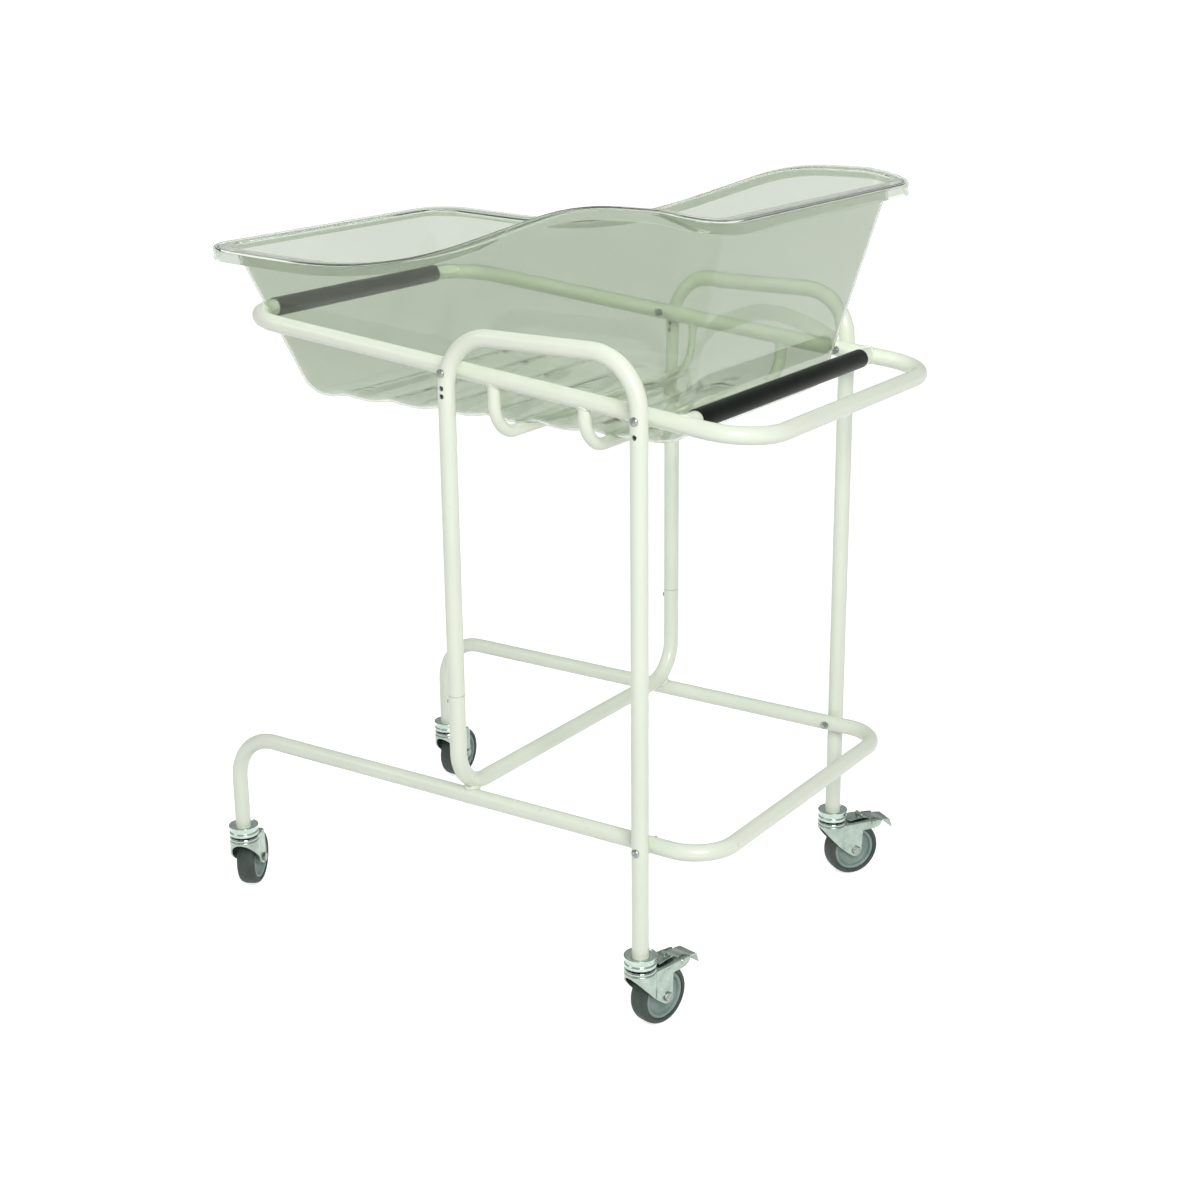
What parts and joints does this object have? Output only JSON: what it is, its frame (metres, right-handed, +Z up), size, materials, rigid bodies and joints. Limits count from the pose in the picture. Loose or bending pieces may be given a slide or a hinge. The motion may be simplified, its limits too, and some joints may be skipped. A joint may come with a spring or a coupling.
{
  "type": "hospital bassinet",
  "caption": "Wheeled newborn crib: a clear tub with a curved rim lifts out of a tilted tube loop on hoop legs with swivel casters and two brake pedals.",
  "frame": {"origin": "on the floor below the middle of the overall size in plan, with the casters as they stand", "axes": "+X towards the head end (the tub's high end), +Y across the frame to the far side, +Z up"},
  "size_m": [0.8943, 0.6375, 1.037],
  "materials": {
    "frame_paint": "smooth cream white powder coat",
    "tub_plastic": "clear, slightly grey-green, polished",
    "sleeve_rubber": "glossy black with fine lengthwise lines",
    "caster_zinc": "bright zinc plate",
    "bolt_steel": "zinc plate",
    "hub_plastic": "moulded grey",
    "tyre": "matt dark grey-brown"
  },
  "bodies": {
    "frame": {"near_hoop": "frame_paint", "far_hoop": "frame_paint", "cross_tube": "frame_paint", "spigots": "bolt_steel", "spigot_screws": "bolt_steel", "base_tube": "frame_paint", "upper_loop": "frame_paint", "head_bar_tube": "frame_paint", "foot_sleeve": "sleeve_rubber", "head_sleeve": "sleeve_rubber", "foot_cradle": "frame_paint", "head_cradle": "frame_paint", "loop_bolts": "bolt_steel", "loop_nuts": "bolt_steel", "base_bolts": "bolt_steel", "base_nuts": "bolt_steel", "near_head_stem": "caster_zinc", "near_head_cup": "caster_zinc", "near_head_balls": "bolt_steel", "far_head_stem": "caster_zinc", "far_head_cup": "caster_zinc", "far_head_balls": "bolt_steel", "near_foot_stem": "caster_zinc", "near_foot_cup": "caster_zinc", "near_foot_balls": "bolt_steel", "far_foot_stem": "caster_zinc", "far_foot_cup": "caster_zinc", "far_foot_balls": "bolt_steel"},
    "tub": {"tub_shell": "tub_plastic"},
    "near_head_swivel": {"near_head_fork": "caster_zinc", "near_head_axle_bolt": "caster_zinc", "near_head_axle_nut": "caster_zinc", "near_head_spacer": "caster_zinc", "near_head_pedal_pin": "caster_zinc"},
    "near_head_wheel": {"near_head_hub": "hub_plastic", "near_head_tyre": "tyre"},
    "near_head_brake_pedal": {"near_head_pedal": "caster_zinc"},
    "far_head_swivel": {"far_head_fork": "caster_zinc", "far_head_axle_bolt": "caster_zinc", "far_head_axle_nut": "caster_zinc", "far_head_spacer": "caster_zinc", "far_head_pedal_pin": "caster_zinc"},
    "far_head_wheel": {"far_head_hub": "hub_plastic", "far_head_tyre": "tyre"},
    "far_head_brake_pedal": {"far_head_pedal": "caster_zinc"},
    "near_foot_swivel": {"near_foot_fork": "caster_zinc", "near_foot_axle_bolt": "caster_zinc", "near_foot_axle_nut": "caster_zinc", "near_foot_spacer": "caster_zinc"},
    "near_foot_wheel": {"near_foot_hub": "hub_plastic", "near_foot_tyre": "tyre"},
    "far_foot_swivel": {"far_foot_fork": "caster_zinc", "far_foot_axle_bolt": "caster_zinc", "far_foot_axle_nut": "caster_zinc", "far_foot_spacer": "caster_zinc"},
    "far_foot_wheel": {"far_foot_hub": "hub_plastic", "far_foot_tyre": "tyre"}
  },
  "joints": [
    {"name": "tub_lift", "type": "slide", "parent": "frame", "child": "tub", "axis": [0, 0, 1], "range_m": [0, 0.3]},
    {"name": "near_head_swivel_turn", "type": "hinge", "parent": "frame", "child": "near_head_swivel", "pos_m": [0.2934, -0.2966, 0.085], "axis": [0, 0, 1], "continuous": true},
    {"name": "near_head_wheel_spin", "type": "hinge", "parent": "near_head_swivel", "child": "near_head_wheel", "pos_m": [0.30005, -0.2653, 0.04], "axis": [-0.9781, 0.2079, 0], "continuous": true},
    {"name": "near_head_pedal_press", "type": "hinge", "parent": "near_head_swivel", "child": "near_head_brake_pedal", "pos_m": [0.30588, -0.23791, 0.08], "axis": [-0.9781, 0.2079, 0], "range_deg": [0, 35]},
    {"name": "far_head_swivel_turn", "type": "hinge", "parent": "frame", "child": "far_head_swivel", "pos_m": [0.2934, 0.2334, 0.085], "axis": [0, 0, 1], "continuous": true},
    {"name": "far_head_wheel_spin", "type": "hinge", "parent": "far_head_swivel", "child": "far_head_wheel", "pos_m": [0.31129, 0.25993, 0.04], "axis": [-0.829, 0.5592, 0], "continuous": true},
    {"name": "far_head_pedal_press", "type": "hinge", "parent": "far_head_swivel", "child": "far_head_brake_pedal", "pos_m": [0.32695, 0.28314, 0.08], "axis": [-0.829, 0.5592, 0], "range_deg": [0, 35]},
    {"name": "near_foot_swivel_turn", "type": "hinge", "parent": "frame", "child": "near_foot_swivel", "pos_m": [-0.4056, -0.2744, 0.085], "axis": [0, 0, 1], "continuous": true},
    {"name": "near_foot_wheel_spin", "type": "hinge", "parent": "near_foot_swivel", "child": "near_foot_wheel", "pos_m": [-0.41963, -0.24564, 0.04], "axis": [-0.8988, -0.4384, 0], "continuous": true},
    {"name": "far_foot_swivel_turn", "type": "hinge", "parent": "frame", "child": "far_foot_swivel", "pos_m": [-0.4056, 0.2112, 0.085], "axis": [0, 0, 1], "continuous": true},
    {"name": "far_foot_wheel_spin", "type": "hinge", "parent": "far_foot_swivel", "child": "far_foot_wheel", "pos_m": [-0.40895, 0.24302, 0.04], "axis": [-0.9945, -0.1045, 0], "continuous": true}
  ]
}
